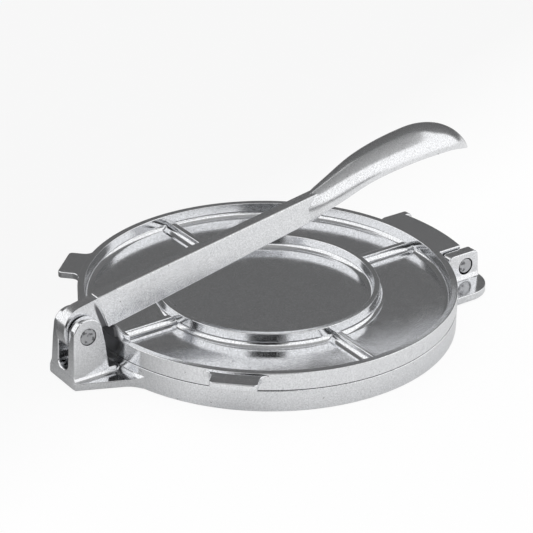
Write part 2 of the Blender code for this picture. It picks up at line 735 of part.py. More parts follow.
def make_pins(collection):
    """Lever pin, flush with the ears, and hinge pin, set a little into the lugs."""
    half = EAR_HALF_WIDTH - EAR_LEAN_SLOPE * LEVER_Z
    lever_pin = add_object("lever_pin", rod("lever_pin", LEVER_PIN_RADIUS, half, LEVER_X, LEVER_Z), collection)
    round_edges(lever_pin, PIN_EDGE_ROUND)
    half = LUG_OUTSIDE - PIN_RECESS
    hinge_pin = add_object("hinge_pin", rod("hinge_pin", HINGE_PIN_RADIUS, half, HINGE_X, HINGE_Z), collection)
    round_edges(hinge_pin, PIN_EDGE_ROUND)
    return lever_pin, hinge_pin


def hang_on_axis(casting, name, x, z, collection):
    """Parent a moving casting to an empty on its joint's axis."""
    axis = bpy.data.objects.new(name, None)
    axis.location = (AXIS_X + x, 0.0, z)
    collection.objects.link(axis)
    casting.parent = axis
    casting.matrix_parent_inverse = Matrix.Translation(-axis.location)


for leftover in list(bpy.data.objects):
    bpy.data.objects.remove(leftover)

press = new_collection(PART_NAME)
shapes = new_collection(SHAPES_NAME)

base_casting = make_base(press)
top_plate_casting = make_top(press)
lever_casting = make_lever(press)
lever_pin, hinge_pin = make_pins(press)

hang_on_axis(top_plate_casting, "plate_hinge_axis", HINGE_X, HINGE_Z, press)
hang_on_axis(lever_casting, "lever_hinge_axis", LEVER_X, LEVER_Z, press)

for piece in (base_casting, top_plate_casting, lever_casting):
    piece.data.materials.append(finish_metal(piece.name + "_aluminium", (0.80, 0.81, 0.82), 0.18))
for piece in (lever_pin, hinge_pin):
    piece.data.materials.append(finish_metal(piece.name + "_aluminium", (0.62, 0.63, 0.64), 0.38))
for piece in (base_casting, top_plate_casting, lever_casting, lever_pin, hinge_pin):
    piece.data.shade_smooth()
    piece.data.set_sharp_from_angle(angle=math.radians(SMOOTH_ANGLE_DEG))
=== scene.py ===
import math

import bmesh
import bpy
from mathutils import Matrix, Vector


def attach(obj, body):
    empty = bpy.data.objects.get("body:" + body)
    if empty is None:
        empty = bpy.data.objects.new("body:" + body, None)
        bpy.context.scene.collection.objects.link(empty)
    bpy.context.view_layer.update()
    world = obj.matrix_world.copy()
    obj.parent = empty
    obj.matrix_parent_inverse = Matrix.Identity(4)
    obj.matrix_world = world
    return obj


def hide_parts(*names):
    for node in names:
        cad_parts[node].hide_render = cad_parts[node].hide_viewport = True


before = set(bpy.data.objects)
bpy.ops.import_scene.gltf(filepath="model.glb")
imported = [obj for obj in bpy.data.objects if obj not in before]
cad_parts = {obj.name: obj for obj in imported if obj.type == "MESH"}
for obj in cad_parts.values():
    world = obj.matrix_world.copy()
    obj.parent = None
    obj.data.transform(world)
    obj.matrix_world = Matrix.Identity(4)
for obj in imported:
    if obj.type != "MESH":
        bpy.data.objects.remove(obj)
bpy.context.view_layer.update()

# Camera
CAMERA_YAW_DEG = 35.49
CAMERA_PITCH_DEG = 26.59
CAMERA_ROLL_DEG = 0.63
CAMERA_DISTANCE = 1.0599
CAMERA_LENS_MM = 134.6
CAMERA_SENSOR_MM = 36.0
CAMERA_CLIP_END = 50.0
AIM_RIGHT = -0.00045
AIM_UP = 0.0260

# Places are given in millimetres from the axis that the two plates share
MM = 0.001
AXIS_X = -3.55
ORIGIN = (0.0, 0.0, 0.0)
X, Y, Z = 0, 1, 2

# How close a corner lies to a place, and how squarely a face looks along an axis, to be picked
NEAR = 0.1
CIRCLE_NEAR = 0.05
SQUARE_ON = 0.9
DOWNWARD = 0.5

# Plates
PLATE_RADIUS = 100.0
BASE_TOP = 11.55
SEAM_TOP = 11.85
CREST = 21.25
BASE_WEB = 3.4
TOP_WEB = 1.85
WALL_DRAFT = 0.3
RIM_WIDTH = 3.6
RING_OUTER = 59.1
RING_WIDTH = 3.0
RING_DROP = 0.5
WALL_ROUND = 0.45
CREST_ROUND = 0.45
FOOT_ROUND = 3.0
PLATE_STEPS = 192
# Profile of a bevel that leaves a hollow, quarter-round cove
COVE = 0.086
COVE_SEGMENTS = 8

# Spokes
SPOKE_START = 57.6
SPOKE_END = 98.0
SPOKE_SINK = 0.4
SPOKE_CREST = 1.6
SPOKE_EDGE = 0.5
SPOKE_COUNT = 4
UPPER_SPOKE_HEIGHT = 4.4
UPPER_SPOKE_HALF_WIDTH = 5.3
LOWER_SPOKE_HEIGHT = 3.0
LOWER_SPOKE_HALF_WIDTH = 4.05

# Lift tabs
TAB_START = 97.5
TAB_ROOT = 103.6
TAB_HALF_WIDTH = 16.4
TAB_DROP = 0.8
TAB_THICKNESS = 3.7
TAB_ROOT_COVE = 4.4
TAB_CORNER = 2.2
TAB_EDGE = 0.6
TAB_TURN_DEG = 134.0
NEAR_TAB_REACH = 110.2
FAR_TAB_REACH = 111.6

# Pad that the lever presses
PAD_LOW = (-99.6, -10.6, 14.0)
PAD_HIGH = (-91.4, 10.6, 25.65)
PAD_COVE = 5.0
PAD_COVE_SEGMENTS = 10
PAD_TOP_SHARE = 0.755
PAD_EDGE = 0.6

# Plate hinge: tongue and knuckle of the upper casting
HINGE_X = 110.3
KNUCKLE_RADIUS = 6.6
KNUCKLE_HALF_WIDTH = 24.9
KNUCKLE_BORE = 4.5
KNUCKLE_BORE_REACH = 30.0
TONGUE_REACH = 114.4
TONGUE_BACK = 80.0
TONGUE_HALF_WIDTH = 24.7
TONGUE_BOTTOM = 12.15
TONGUE_DROP = 0.3
TONGUE_EDGE = 0.7

# What the feet and the tongue leave free inside the rims
RECESS_RADIUS = 97.5
RECESS_TOP = 30.0
RECESS_BOTTOM = -5.0

# Feet and the fillets on them
FOOT_BOTTOM = 0.3
BLEND_SINK = 0.19
BLEND_REACH = (3.0, 12.0)

# Plate hinge: foot and lugs of the lower casting
HINGE_FOOT_START = 78.0
HINGE_FOOT_END = 119.8
HINGE_FOOT_HALF_WIDTH = 48.7
HINGE_FOOT_CORNER = 17.6
HINGE_FOOT_CORNER_SEGMENTS = 16
HINGE_FOOT_TOP = 4.5
HINGE_FOOT_EDGE = 0.5
HINGE_WALL_BLEND = (3.8, 7.05, 2.6)
HINGE_BLEND_MARGIN = 0.6
LUG_START = 95.0
LUG_END = 119.7
LUG_BOTTOM = 2.5
LUG_TOP = 19.55
LUG_MIDDLE_X = 110.0
LUG_MIDDLE_Z = 10.0
LUG_FRONT_LEAN = 3.6
LUG_BACK_LEAN = 1.3
LUG_CORNER = 3.0
LUG_EDGE = 0.7
LUG_BORE = 4.9
LUG_BORE_SHIFT = 0.3
LUG_BORE_REACH = 40.0
NEAR_LUG = (-31.8, -25.4)
FAR_LUG = (25.4, 29.7)
LUG_BLEND_X = (98.5, 118.3)
LUG_BLEND_Z = (3.9, 7.35)
LUG_BLEND_WIDTH = 2.9
NEAR_LUG_BLEND = (-34.7, -28.0)
FAR_LUG_BLEND = (26.8, 32.6)

# Clevis
PIN_X = -115.4
PIN_Z = 26.79
PIN_BORE = 4.5
PIN_BORE_REACH = 20.0
CLEVIS_BORE_STEPS = 72
EAR_CENTER_X = -115.2
EAR_CENTER_Z = 27.8
EAR_RADIUS = 8.3
EAR_STEPS = 96
EAR_STOCK = 14.0
EAR_HALF_WIDTH = 11.9
EAR_DRAFT = 0.061
EAR_EDGE = 1.2
EAR_EDGE_SEGMENTS = 4
# Ear outline below its round top: outer edge, inner edge, height
EAR_ROWS = (
    (-124.1, -105.6, 21.4),
    (-124.7, -104.8, 9.6),
    (-125.1, -104.3, 6.6),
    (-125.5, -103.8, 4.9),
    (-125.7, -103.8, 0.3),
)
SLOT_LOW = (-140.0, -4.8, 7.6)
SLOT_HIGH = (-90.0, 4.8, 60.0)
SLOT_ROUND = 4.0
CLEVIS_FOOT_START = -125.2
CLEVIS_FOOT_TOP = 4.2
CLEVIS_FOOT_EDGE = 0.4
CLEVIS_HALF_WIDTH = 12.6
# Clevis foot where it flows into the plate's wall: place along X, half width
CLEVIS_FLARE = ((-101.5, 23.3), (-99.5, 24.8), (-97.8, 26.8), (-96.2, 29.2), (-94.5, 30.5))
CLEVIS_BLEND_X = (-127.0, -101.0)
CLEVIS_BLEND_Z = (3.6, 7.15)
CLEVIS_BLEND_HALF_WIDTH = 14.4
CLEVIS_BLEND_WIDTH = 3.0
CLEVIS_WALL_BLEND = (3.55, 9.12, 5.0)
CLEVIS_BLEND_MARGIN = 0.15

# Lever bar: its bottom and top run at their own slopes, given by height over the pin
BAR_BOTTOM_AT_PIN = -4.0
BAR_BOTTOM_SLOPE = 0.2002
BAR_TOP_AT_PIN = 14.2
BAR_TOP_SLOPE = 0.165
BAR_HALF_WIDTH = 5.8
BAR_TOP_HALF_WIDTH = 3.1
BAR_STOCK_START = -110.0
BAR_STOCK_HEIGHT = 10.0
BAR_FOOT = (-101.0, -105.6)
BAR_END = 22.5
BAR_END_LEAN = 9.5
BAR_END_BOTTOM = 50.4
BAR_EDGE = 0.7

# Lever hub
HUB_RADIUS = 9.9
HUB_HALF_WIDTH = 4.45
HUB_STEPS = 128
HUB_EDGE = 0.6
CROWN_RADIUS = 12.1
CROWN_SHIFT_X = 2.0
CROWN_SHIFT_Z = 1.4
CROWN_BACK = -116.3
CROWN_BOTTOM = 26.4
CROWN_TOP = 39.92
CROWN_END = -94.0
CROWN_MIDDLE_X = -100.0
CROWN_MIDDLE_Z = 30.0
CHEEK_ENDS = (-135.0, -80.0)
CHEEK_DROP = 12.0

# Grip: share of its length, half width, height of the rim over the bar's end, height of the arch
GRIP_LENGTH = 110.3
GRIP_SIDES = 64
GRIP_STEPS = 60
GRIP_EDGE = 0.4
GRIP_EDGE_ANGLE_DEG = 60.0
GRIP_STATIONS = (
    (-0.055, 3.36, -0.46, 11.18),
    (0.020, 5.88, 0.81, 12.74),
    (0.080, 7.56, 4.99, 11.31),
    (0.165, 9.10, 8.70, 11.96),
    (0.310, 11.48, 16.01, 11.57),
    (0.455, 13.02, 20.18, 11.83),
    (0.600, 13.86, 22.50, 12.35),
    (0.710, 14.00, 23.20, 12.61),
    (0.815, 13.02, 22.85, 10.92),
    (0.895, 10.36, 20.65, 8.84),
    (0.955, 6.72, 18.21, 5.46),
    (0.990, 3.08, 16.24, 2.21),
    (1.000, 0.28, 15.43, 0.26),
)
SHELL = 3.0
HOLLOW_START = 0.224
HOLLOW_SPAN = 0.609
HOLLOW_STEPS = 40
HOLLOW_SWELL = 0.25
HOLLOW_DROP = 5.0

# Pins: radius, ends along Y
ROD_STEPS = 64
ROD_EDGE = 0.4
LEVER_PIN = (4.25, -10.3, 10.3)
HINGE_PIN = (4.2, -31.4, 29.3)

# Finish of the castings: sizes of the patterns in mm, then colours and roughness
SMOOTH_ANGLE_DEG = 38.0
METAL_COLOR = "F7F8FA"
GRAIN_COLOR = "CCCDCF"
# The share of a noise's range that its pattern runs over
NOISE_SPAN = (0.3, 0.7)
WAVE = 11.0
WAVE_HEIGHT = 0.03
CLOUD = 5.0
# Real grain is near 0.2 mm: drawn at 0.7 mm, so that it shows from a step away
GRAIN = 0.7
# Only the noise's rare peaks become pits, so they stay few
PIT = 1.8
PIT_PEAKS = (0.735, 0.775)
PIT_DEPTH = 0.05
PIT_COLOR = "6E6E70"
PLATE_ROUGHNESS = (0.085, 0.17)
PLATE_BITE = 0.022
LEVER_ROUGHNESS = (0.17, 0.25)
LEVER_BITE = 0.008
# Painted shade in two corners, where nearby parts shade the metal and are mirrored dark in it: middle, lean
# in degrees, radii
SHADE_BEHIND_EARS = ((-101.0, 0.0, 21.5), 0.0, (5.2, 20.0, 17.0))
SHADE_AT_SHOULDER = ((-103.9, 0.0, 30.0), -19.0, (1.7, 30.0, 12.0))
# The painted shade is full from this share of the radii inwards
PAINTED_SHADE_FULL = 0.7
# Colour and roughness of the painted shade patches
PAINTED_SHADE_COLOR = "6A6A6C"
PAINTED_SHADE_ROUGHNESS = 0.42

# Finish of the pins
ROD_COLOR = "B9BABC"
ROD_ROUGHNESS = 0.35
GOUGE = 2.5
GOUGE_DEPTH = 0.5
NICK_PEAKS = (0.52, 0.62)
NICK_COLOR = "707072"

# Studio, in metres
TABLE_SIZE = 8.0
TABLE_COLOR = "E2E2E2"
# Painted shade on the table: its colour darkens to this towards the far left, over the depths below
TABLE_SHADE_COLOR = "5E5E5E"
TABLE_ROUGHNESS = 0.9
TABLE_LIFT = 0.92
TABLE_FADE = (-0.35, 0.94, 0.0)
TABLE_FADE_FROM = -0.02
TABLE_FADE_TO = 0.11
# Cards that only the metal sees: name, distance past the press, middle's height, width, height, colour
CARDS = (
    ("far_wall", 1.3, 1.15, 4.0, 2.2, "767676"),
    ("near_wall", -1.6, 0.10, 4.4, 0.56, "8A8A8A"),
    ("dark_camera", -1.0, 0.47, 0.44, 0.90, "343434"),
    ("photographer", -1.02, 0.47, 0.72, 0.90, "808080"),
)
CEILING_HEIGHT = 1.6
CEILING_WIDTH = 1.9
CEILING_COLOR = "CECECE"
WORLD_STRENGTH = 1.2
WHITE = (1.0, 1.0, 1.0, 1.0)


def spot(x, y, z):
    """A place in the scene, from millimetres measured at the plates' axis."""
    return Vector(((AXIS_X + x) * MM, y * MM, z * MM))


def measured(place):
    """Millimetres from the plates' axis of a place in the scene."""
    return Vector((place.x / MM - AXIS_X, place.y / MM, place.z / MM))


def add_camera():
    """Camera at the photograph's angle."""
    yaw = math.radians(CAMERA_YAW_DEG)
    pitch = math.radians(CAMERA_PITCH_DEG)
    roll = math.radians(CAMERA_ROLL_DEG)
    ahead = Vector((math.sin(yaw) * math.cos(pitch), math.cos(yaw) * math.cos(pitch), -math.sin(pitch)))
    level = Vector((math.cos(yaw), -math.sin(yaw), 0.0))
    above = level.cross(ahead)
    right = level * math.cos(roll) + above * math.sin(roll)
    up = above * math.cos(roll) - level * math.sin(roll)
    target = spot(0.0, 0.0, 0.0) + right * AIM_RIGHT + up * AIM_UP
    camera = bpy.data.objects.new("camera", bpy.data.cameras.new("camera"))
    bpy.context.scene.collection.objects.link(camera)
    turn = Matrix((right, up, -ahead)).transposed().to_4x4()
    camera.matrix_world = Matrix.Translation(target - ahead * CAMERA_DISTANCE) @ turn
    camera.data.lens = CAMERA_LENS_MM
    camera.data.sensor_width = CAMERA_SENSOR_MM
    camera.data.clip_end = CAMERA_CLIP_END
    bpy.context.scene.camera = camera


# Modelling: a primitive is placed, then its faces, edges or corners are picked and worked on

def clear_selection():
    if bpy.context.object and bpy.context.object.mode != "OBJECT":
        bpy.ops.object.mode_set(mode="OBJECT")
    bpy.ops.object.select_all(action="DESELECT")


def select_only(piece):
    clear_selection()
    piece.select_set(True)
    bpy.context.view_layer.objects.active = piece


def settle(name):
    """Name the new primitive and take its place into its mesh."""
    piece = bpy.context.object
    piece.name = name
    piece.data.name = name
    bpy.ops.object.transform_apply(location=True, rotation=True, scale=True)
    return piece


def new_block(name, low, high):
    clear_selection()
    low, high = spot(*low), spot(*high)
    bpy.ops.mesh.primitive_cube_add(size=1.0, location=(low + high) / 2.0, scale=high - low)
    return settle(name)


def new_disc(name, radius, low, high):
    """Round blank about the plates' axis."""
    clear_selection()
    bpy.ops.mesh.primitive_cylinder_add(
        vertices=PLATE_STEPS, radius=radius * MM, depth=(high - low) * MM,
        location=spot(0.0, 0.0, (low + high) / 2.0), rotation=(0.0, 0.0, math.pi / PLATE_STEPS))
    return settle(name)


def new_rod(name, radius, x, z, low, high, steps=ROD_STEPS):
    """Cylinder along Y."""
    clear_selection()
    bpy.ops.mesh.primitive_cylinder_add(
        vertices=steps, radius=radius * MM, depth=(high - low) * MM,
        location=spot(x, (low + high) / 2.0, z), rotation=(math.radians(90.0), 0.0, 0.0))
    return settle(name)


def open_piece(piece, kind):
    """Edit mode with nothing selected."""
    select_only(piece)
    bpy.ops.object.mode_set(mode="EDIT")
    bpy.ops.mesh.select_mode(type=kind)
    bpy.ops.mesh.select_all(action="DESELECT")
    return bmesh.from_edit_mesh(piece.data)


def pick_faces(piece, test):
    form = open_piece(piece, "FACE")
    for face in form.faces:
        face.select_set(test(measured(face.calc_center_median()), face.normal))
    bmesh.update_edit_mesh(piece.data)


def pick_edges(piece, test):
    form = open_piece(piece, "EDGE")
    for edge in form.edges:
        edge.select_set(test(measured(edge.verts[0].co), measured(edge.verts[1].co)))
    bmesh.update_edit_mesh(piece.data)


def pick_corners(piece, test):
    form = open_piece(piece, "VERT")
    for vertex in form.verts:
        vertex.select_set(test(measured(vertex.co)))
    bmesh.update_edit_mesh(piece.data)


def both_at(a, b, axis, place):
    """True where an edge's two ends lie at a place on an axis."""
    return abs(a[axis] - place) < NEAR and abs(b[axis] - place) < NEAR


def level_in(a, b, axis):
    """True where an edge keeps its place on an axis."""
    return abs(a[axis] - b[axis]) < NEAR


def at_circle(a, b, radius, level):
    """True where an edge lies on a circle about the plates' axis."""
    on_circle = abs(a.xy.length - radius) < CIRCLE_NEAR and abs(b.xy.length - radius) < CIRCLE_NEAR
    return on_circle and abs(a.z - level) < CIRCLE_NEAR and abs(b.z - level) < CIRCLE_NEAR


def push(x, y, z):
    """Extrude what is picked."""
    bpy.ops.mesh.extrude_region_move(TRANSFORM_OT_translate={"value": (x * MM, y * MM, z * MM)})


def shift(x, y, z):
    bpy.ops.transform.translate(value=(x * MM, y * MM, z * MM))


def widen(x, y, z, about):
    bpy.ops.transform.resize(value=(x, y, z), center_override=spot(*about))


def scale_round(share):
    """Draw what is picked in or out about the plates' axis."""
    widen(share, share, 1.0, ORIGIN)


def turn_piece(piece, degrees):
    """Turn a whole piece about the plates' axis."""
    open_piece(piece, "FACE")
    bpy.ops.mesh.select_all(action="SELECT")
    bpy.ops.transform.rotate(value=math.radians(degrees), orient_axis="Z", center_override=spot(*ORIGIN))


def inset(width):
    bpy.ops.mesh.inset(thickness=width * MM, use_even_offset=True)


def bevel(width, segments=4, profile=0.5):
    bpy.ops.mesh.bevel(
        offset=width * MM, segments=segments, profile=profile, affect="EDGES", clamp_overlap=True)


def cut_off(piece, place, normal):
    """Cut the piece by a plane and keep the side that the normal points away from."""
    open_piece(piece, "FACE")
    bpy.ops.mesh.select_all(action="SELECT")
    bpy.ops.mesh.bisect(plane_co=spot(*place), plane_no=normal, use_fill=True, clear_outer=True)


def apply_modifier(piece, modifier):
    select_only(piece)
    bpy.ops.object.modifier_apply(modifier=modifier.name)


def combine(piece, tool, operation):
    """Join a shape to a casting, or cut it out, and drop the shape."""
    clear_selection()
    modifier = piece.modifiers.new(tool.name, "BOOLEAN")
    modifier.operation = operation
    modifier.solver = "EXACT"
    modifier.object = tool
    apply_modifier(piece, modifier)
    bpy.data.objects.remove(tool)


def round_piece(piece, width, segments=3, angle_deg=40.0):
    """Break every sharp edge, as polishing does."""
    clear_selection()
    modifier = piece.modifiers.new("edge_round", "BEVEL")
    modifier.limit_method = "ANGLE"
    modifier.angle_limit = math.radians(angle_deg)
    modifier.width = width * MM
    modifier.segments = segments
    apply_modifier(piece, modifier)


# Plates

def shape_plate(name, flat, crest, web):
    """Round plate, flat on one side, with rim, ring and floor sunk into the other."""
    up = 1.0 if crest > flat else -1.0
    plate = new_disc(name, PLATE_RADIUS, min(flat, crest), max(flat, crest))
    floor = flat + up * web
    ring_top = crest - up * RING_DROP
    rim_inner = PLATE_RADIUS - RIM_WIDTH
    ring_inner = RING_OUTER - RING_WIDTH
    rim_foot = rim_inner - WALL_DRAFT
    ring_foot = RING_OUTER + WALL_DRAFT
    well_foot = ring_inner - WALL_DRAFT
    pick_faces(plate, lambda middle, normal: normal.z * up > SQUARE_ON)
    inset(RIM_WIDTH)
    push(0.0, 0.0, floor - crest)
    scale_round(rim_foot / rim_inner)
    inset(rim_foot - ring_foot)
    push(0.0, 0.0, ring_top - floor)
    scale_round(RING_OUTER / ring_foot)
    inset(RING_WIDTH)
    push(0.0, 0.0, floor - ring_top)
    scale_round(well_foot / ring_inner)
    pick_edges(plate, lambda a, b: at_circle(a, b, PLATE_RADIUS, crest))
    bevel(WALL_ROUND, 5)
    crests = ((rim_inner, crest), (RING_OUTER, ring_top), (ring_inner, ring_top), (PLATE_RADIUS, flat))
    for radius, level in crests:
        pick_edges(plate, lambda a, b: at_circle(a, b, radius, level))
        bevel(CREST_ROUND)
    for radius in (rim_foot, ring_foot, well_foot):
        pick_edges(plate, lambda a, b: at_circle(a, b, radius, floor))
        bevel(FOOT_ROUND, 8)
    clear_selection()
    return plate


def add_spokes(plate, floor, up, height, half_width):
    """Four spokes with coved sides, from the ring to the rim."""
    top = floor + up * height
    low, high = sorted((floor - up * SPOKE_SINK, top))
    spoke = new_block(plate.name + "_spoke", (SPOKE_START, -half_width, low), (SPOKE_END, half_width, high))
    pick_edges(spoke, lambda a, b: both_at(a, b, Z, top) and level_in(a, b, Y))
    bevel(half_width - SPOKE_CREST, COVE_SEGMENTS, COVE)
    pick_edges(spoke, lambda a, b: both_at(a, b, Z, top) and level_in(a, b, Y))
    bevel(SPOKE_EDGE, 3)
    for turn in range(SPOKE_COUNT):
        select_only(spoke)
        bpy.ops.object.duplicate()
        copy = bpy.context.object
        turn_piece(copy, 360.0 / SPOKE_COUNT * turn)
        combine(plate, copy, "UNION")
    bpy.data.objects.remove(spoke)


def add_lift_tab(plate, side, reach):
    """Tab with concave roots, made on +X and turned to its place."""
    high = CREST - TAB_DROP
    low = high - TAB_THICKNESS
    tab = new_block("lift_tab", (TAB_START, -TAB_HALF_WIDTH, low), (TAB_ROOT, TAB_HALF_WIDTH, high))
    pick_edges(tab, lambda a, b: both_at(a, b, X, TAB_ROOT) and level_in(a, b, Y))
    bevel(TAB_ROOT_COVE, COVE_SEGMENTS, COVE)
    pick_faces(tab, lambda middle, normal: normal.x > SQUARE_ON and middle.x > TAB_ROOT - NEAR)
    push(reach - TAB_ROOT, 0.0, 0.0)
    pick_edges(tab, lambda a, b: both_at(a, b, X, reach) and level_in(a, b, Y))
    bevel(TAB_CORNER, 6)
    round_piece(tab, TAB_EDGE)
    turn_piece(tab, -TAB_TURN_DEG * side)
    combine(plate, tab, "UNION")


def add_pressing_pad(plate):
    """Pad on the rim with a hollow inner side, narrower at its top."""
    pad = new_block("pressing_pad", PAD_LOW, PAD_HIGH)
    pick_edges(pad, lambda a, b: both_at(a, b, Z, PAD_HIGH[Z]) and both_at(a, b, X, PAD_HIGH[X]))
    bevel(PAD_COVE, PAD_COVE_SEGMENTS, COVE)
    pick_corners(pad, lambda place: place.z > PAD_HIGH[Z] - NEAR)
    widen(1.0, PAD_TOP_SHARE, 1.0, ORIGIN)
    round_piece(pad, PAD_EDGE)
    combine(plate, pad, "UNION")


def add_tongue(plate):
    """Hinge tongue, its front edge round about the plates' axis, with the knuckle under it."""
    tongue = new_disc("hinge_tongue", TONGUE_REACH, TONGUE_BOTTOM, CREST - TONGUE_DROP)
    cut_off(tongue, (0.0, TONGUE_HALF_WIDTH, 0.0), (0.0, 1.0, 0.0))
    cut_off(tongue, (0.0, -TONGUE_HALF_WIDTH, 0.0), (0.0, -1.0, 0.0))
    cut_off(tongue, (TONGUE_BACK, 0.0, 0.0), (-1.0, 0.0, 0.0))
    round_piece(tongue, TONGUE_EDGE)
    combine(tongue, new_disc("recess", RECESS_RADIUS, 0.0, RECESS_TOP), "DIFFERENCE")
    combine(plate, tongue, "UNION")
    knuckle = new_rod("knuckle", KNUCKLE_RADIUS, HINGE_X, BASE_TOP, -KNUCKLE_HALF_WIDTH, KNUCKLE_HALF_WIDTH)
    combine(plate, knuckle, "UNION")
    bore = new_rod("knuckle_bore", KNUCKLE_BORE, HINGE_X, BASE_TOP, -KNUCKLE_BORE_REACH, KNUCKLE_BORE_REACH)
    combine(plate, bore, "DIFFERENCE")


def make_upper_casting():
    """Upper plate with spokes, pressing pad, lift tabs, hinge tongue and knuckle."""
    plate = shape_plate("upper_casting", SEAM_TOP, CREST, TOP_WEB)
    add_spokes(plate, SEAM_TOP + TOP_WEB, 1.0, UPPER_SPOKE_HEIGHT, UPPER_SPOKE_HALF_WIDTH)
    add_pressing_pad(plate)
    add_lift_tab(plate, -1.0, NEAR_TAB_REACH)
    add_lift_tab(plate, 1.0, FAR_TAB_REACH)
    add_tongue(plate)
    return plate


# Lower plate and what it carries

def coved_disc(name, low, high, width):
    """Fillet all round the plate's wall, on a foot's top."""
    radius = PLATE_RADIUS + width - BLEND_SINK
    disc = new_disc(name, radius, low, high)
    pick_edges(disc, lambda a, b: at_circle(a, b, radius, high))
    bevel(width, COVE_SEGMENTS, COVE)
    return disc


def coved_block(name, span_x, span_y, span_z, width):
    """Fillet along the two long sides of a wall, on a foot's top."""
    low, high = zip(span_x, span_y, span_z)
    block = new_block(name, low, high)
    pick_edges(block, lambda a, b: both_at(a, b, Z, high[Z]) and level_in(a, b, Y))
    bevel(width, COVE_SEGMENTS, COVE)
    return block


def clevis_outline(name, low, high, margin):
    """Block on the clevis foot's outline, widening from the ears and curving into the plate's wall."""
    half = CLEVIS_HALF_WIDTH - margin
    x = CLEVIS_FLARE[0][0]
    block = new_block(name, (CLEVIS_FOOT_START + margin, -half, low), (x, half, high))
    pick_faces(block, lambda middle, normal: normal.x > SQUARE_ON)
    for next_x, next_half in CLEVIS_FLARE:
        if next_x > x:
            push(next_x - x, 0.0, 0.0)
        widen(1.0, next_half / half, 1.0, ORIGIN)
        x, half = next_x, next_half
    return block


def hinge_outline(name, low, high, margin):
    """Block on the hinge foot's outline, with its two large corners."""
    end = HINGE_FOOT_END - margin
    half = HINGE_FOOT_HALF_WIDTH - margin
    block = new_block(name, (HINGE_FOOT_START, -half, low), (end, half, high))
    pick_edges(block, lambda a, b: both_at(a, b, X, end) and level_in(a, b, Y))
    bevel(HINGE_FOOT_CORNER, HINGE_FOOT_CORNER_SEGMENTS)
    return block


def make_ears():
    """Clevis ears: one round-topped upright, drafted, with the slot and the bore cut through it."""
    ears = new_rod("clevis_ears", EAR_RADIUS, EAR_CENTER_X, EAR_CENTER_Z, -EAR_STOCK, EAR_STOCK, EAR_STEPS)
    cut_off(ears, (0.0, 0.0, EAR_CENTER_Z), (0.0, 0.0, -1.0))
    pick_faces(ears, lambda middle, normal: normal.z < -SQUARE_ON)
    left, right, level = EAR_CENTER_X - EAR_RADIUS, EAR_CENTER_X + EAR_RADIUS, EAR_CENTER_Z
    for low_left, low_right, low in EAR_ROWS:
        middle = (low_left + low_right) / 2.0
        push(middle - (left + right) / 2.0, 0.0, low - level)
        widen((low_right - low_left) / (right - left), 1.0, 1.0, (middle, 0.0, low))
        left, right, level = low_left, low_right, low
    for side in (-1.0, 1.0):
        cut_off(ears, (0.0, EAR_HALF_WIDTH * side, 0.0), (0.0, side, EAR_DRAFT))
    slot = new_block("clevis_slot", SLOT_LOW, SLOT_HIGH)
    pick_edges(slot, lambda a, b: both_at(a, b, Z, SLOT_LOW[Z]) and level_in(a, b, Y))
    bevel(SLOT_ROUND, 8)
    combine(ears, slot, "DIFFERENCE")
    round_piece(ears, EAR_EDGE, EAR_EDGE_SEGMENTS)
    bore = new_rod("clevis_bore", PIN_BORE, PIN_X, PIN_Z, -PIN_BORE_REACH, PIN_BORE_REACH, CLEVIS_BORE_STEPS)
    combine(ears, bore, "DIFFERENCE")
    return ears


def make_clevis():
    """Clevis foot with its fillets and ears."""
    foot = clevis_outline("clevis_foot", FOOT_BOTTOM, CLEVIS_FOOT_TOP, 0.0)
    round_piece(foot, CLEVIS_FOOT_EDGE)
    sides = (-CLEVIS_BLEND_HALF_WIDTH, CLEVIS_BLEND_HALF_WIDTH)
    blend = coved_block("clevis_blend", CLEVIS_BLEND_X, sides, CLEVIS_BLEND_Z, CLEVIS_BLEND_WIDTH)
    combine(blend, coved_disc("clevis_wall_blend", *CLEVIS_WALL_BLEND), "UNION")
    combine(blend, clevis_outline("clevis_reach", *BLEND_REACH, CLEVIS_BLEND_MARGIN), "INTERSECT")
    combine(foot, blend, "UNION")
    combine(foot, make_ears(), "UNION")
    return foot


def make_lug(name, sides):
    """Hinge lug, leaning a little on its two ends."""
    lug = new_block(name, (LUG_START, sides[0], LUG_BOTTOM), (LUG_END, sides[1], LUG_TOP))
    pick_corners(lug, lambda place: place.x > LUG_MIDDLE_X and place.z > LUG_MIDDLE_Z)
    shift(-LUG_BACK_LEAN, 0.0, 0.0)
    pick_corners(lug, lambda place: place.x < LUG_MIDDLE_X and place.z > LUG_MIDDLE_Z)
    shift(LUG_FRONT_LEAN, 0.0, 0.0)
    pick_edges(lug, lambda a, b: both_at(a, b, Z, LUG_TOP) and level_in(a, b, X))
    bevel(LUG_CORNER, 6)
    round_piece(lug, LUG_EDGE)
    return lug


def make_hinge_foot():
    """Hinge foot with its two lugs and their fillets."""
    foot = hinge_outline("hinge_foot", FOOT_BOTTOM, HINGE_FOOT_TOP, 0.0)
    round_piece(foot, HINGE_FOOT_EDGE)
    for name, sides in (("near_lug_blend", NEAR_LUG_BLEND), ("far_lug_blend", FAR_LUG_BLEND)):
        combine(foot, coved_block(name, LUG_BLEND_X, sides, LUG_BLEND_Z, LUG_BLEND_WIDTH), "UNION")
    combine(foot, make_lug("near_lug", NEAR_LUG), "UNION")
    combine(foot, make_lug("far_lug", FAR_LUG), "UNION")
    bore = new_rod("lug_bore", LUG_BORE, HINGE_X - LUG_BORE_SHIFT, BASE_TOP, -LUG_BORE_REACH, LUG_BORE_REACH)
    combine(foot, bore, "DIFFERENCE")
    blend = coved_disc("hinge_wall_blend", *HINGE_WALL_BLEND)
    combine(blend, hinge_outline("hinge_reach", *BLEND_REACH, HINGE_BLEND_MARGIN), "INTERSECT")
    combine(foot, blend, "UNION")
    combine(foot, new_disc("recess", RECESS_RADIUS, RECESS_BOTTOM, RECESS_TOP), "DIFFERENCE")
    return foot


